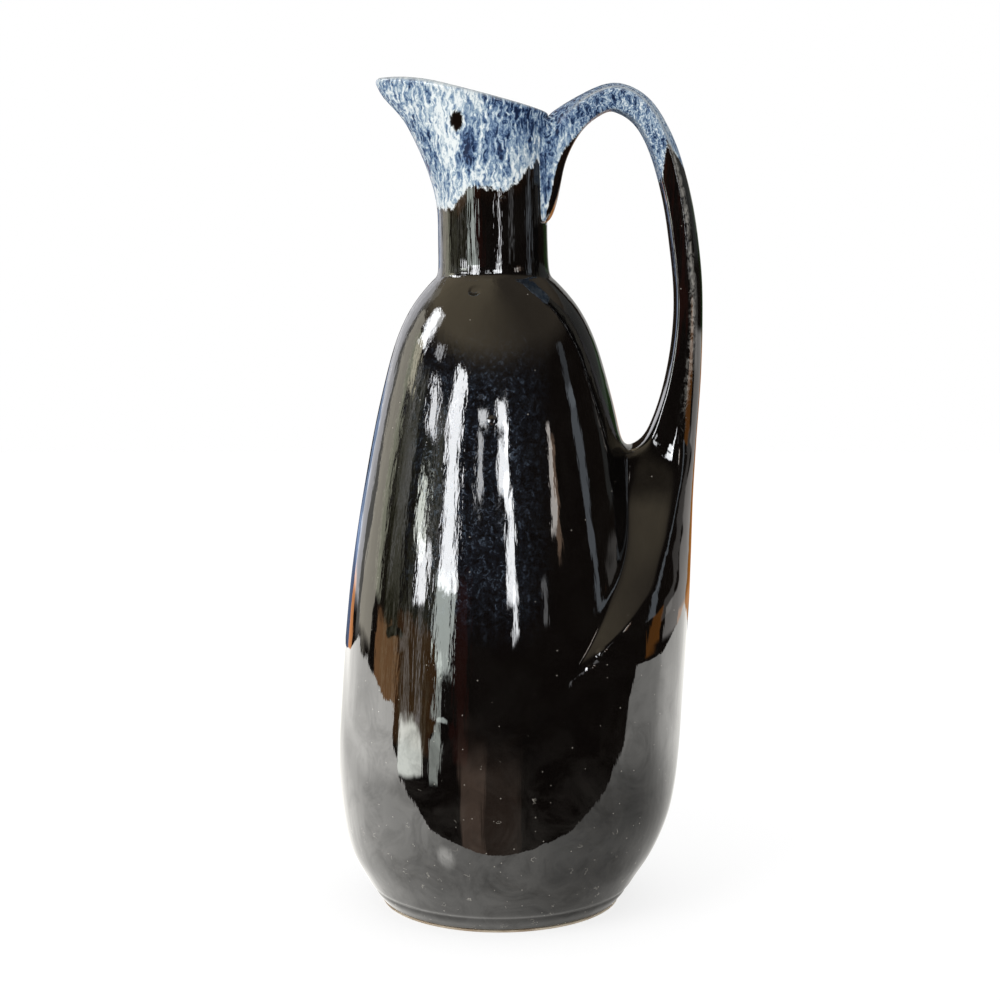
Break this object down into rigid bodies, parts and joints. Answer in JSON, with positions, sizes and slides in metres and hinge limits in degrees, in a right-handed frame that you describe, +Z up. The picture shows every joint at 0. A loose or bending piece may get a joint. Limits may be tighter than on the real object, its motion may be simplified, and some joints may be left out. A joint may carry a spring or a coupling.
{
  "type": "pottery ewer",
  "caption": "Tall glazed stoneware ewer with an egg-shaped body, short neck, beaked pouring spout and a high looped strap handle that spreads into the back of the body.",
  "frame": {"origin": "centre of the foot's underside, on the table", "axes": "+Z up, spout along -X, handle on +X; the XZ plane is the plane of symmetry"},
  "size_m": [0.1349, 0.1188, 0.3014],
  "materials": {
    "dark_glaze": "very glossy brown-black glaze over stoneware",
    "drip_glaze": "glossy blue and white streaked drip glaze",
    "bare_clay": "unglazed fired clay",
    "luting_slip": "fired slip in the joints"
  },
  "bodies": {
    "root": {"foot": "bare_clay", "foot_slip": "luting_slip", "body": "dark_glaze", "neck_slip": "luting_slip", "neck": "dark_glaze", "spout_slip": "luting_slip", "spout": "drip_glaze", "handle": "dark_glaze", "handle_top_slip": "luting_slip", "handle_root": "dark_glaze", "handle_root_slip": "luting_slip"}
  },
  "joints": []
}
